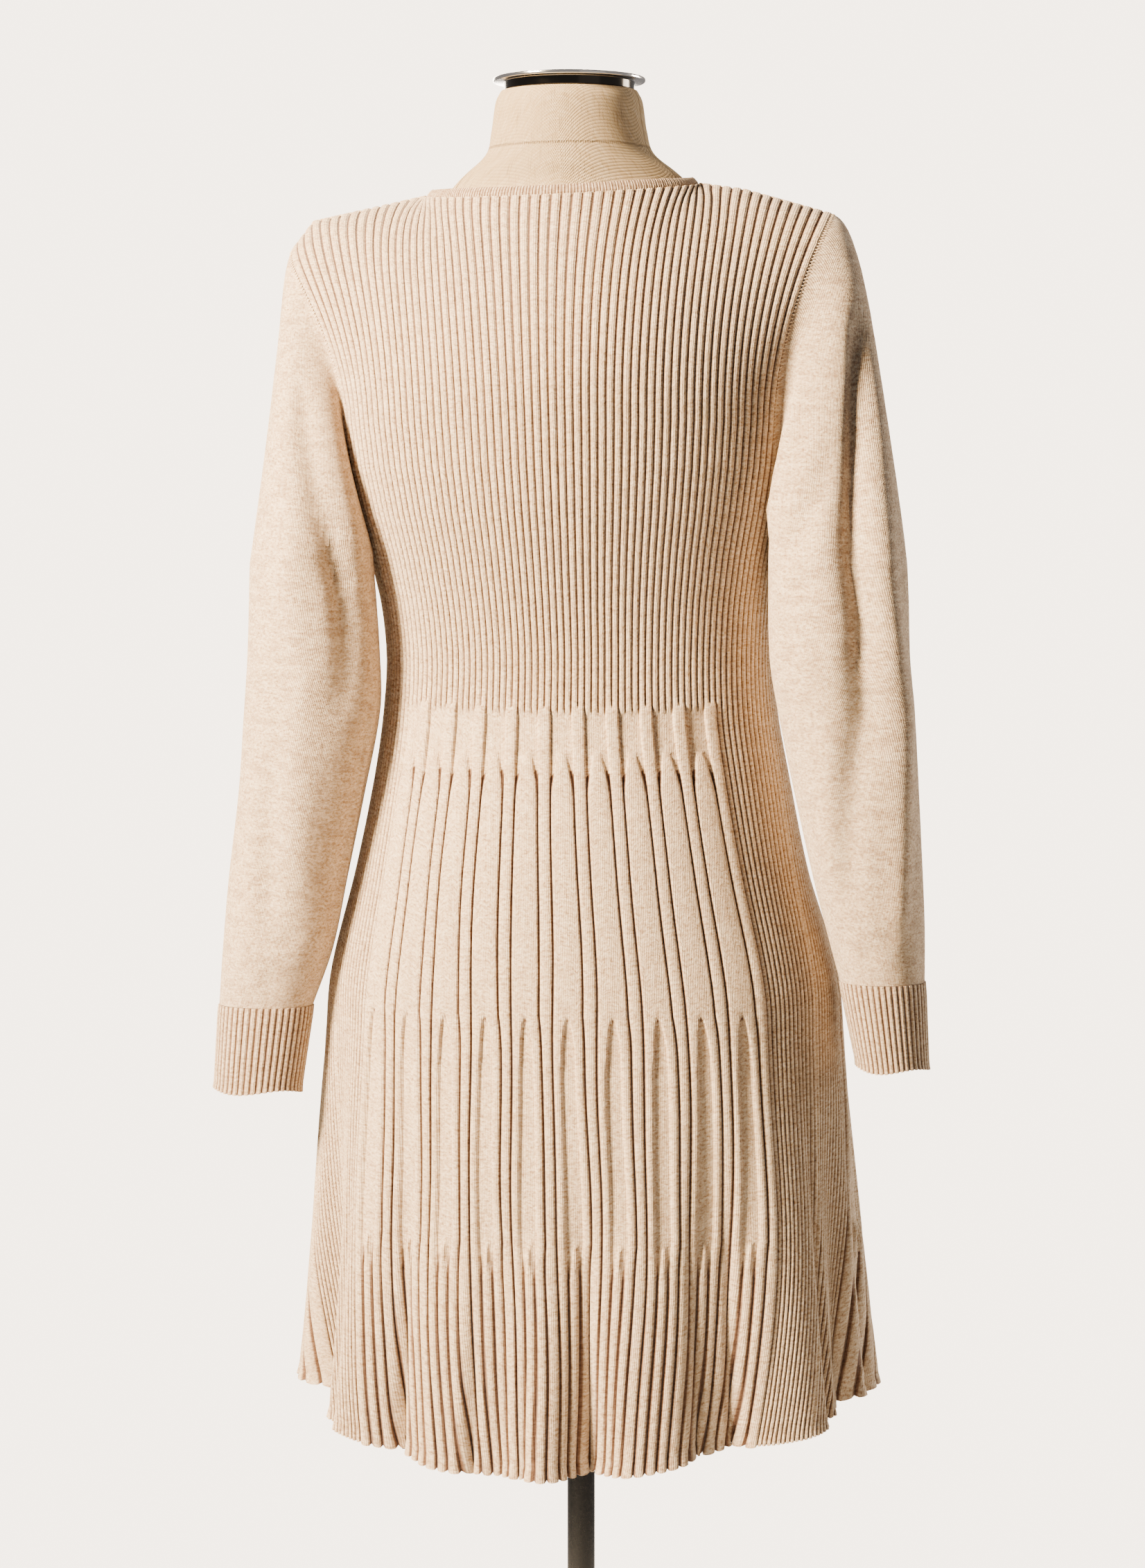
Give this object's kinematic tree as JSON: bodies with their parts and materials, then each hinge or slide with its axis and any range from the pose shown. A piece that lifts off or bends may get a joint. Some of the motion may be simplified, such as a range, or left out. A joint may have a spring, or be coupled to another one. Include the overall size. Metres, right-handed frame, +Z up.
{
  "type": "sweater dress on a limbless dress form",
  "caption": "Long-sleeved ribbed knit sweater dress with a flared pleated skirt, hung on a limbless linen-covered dress form with a chrome neck cap, a slim pole and a round base",
  "frame": {"origin": "centre of the base's underside, on the axis of the pole, at the floor", "axes": "+Z up along the pole, -Y towards the back of the dress, +Y towards its front, +X to the right as its back is seen"},
  "size_m": [0.5172, 0.36, 1.4735],
  "materials": {
    "knit": "matt knit, beige melange",
    "linen": "matt woven linen",
    "chrome": "polished",
    "black_metal": "satin black"
  },
  "bodies": {
    "root": {"back": "knit", "front": "knit", "sleeve_right": "knit", "cuff_right": "knit", "sleeve_left": "knit", "cuff_left": "knit", "neckband": "knit", "form_body": "linen", "neck_cap": "chrome", "stand_pole": "black_metal", "stand_base": "black_metal"}
  },
  "joints": []
}
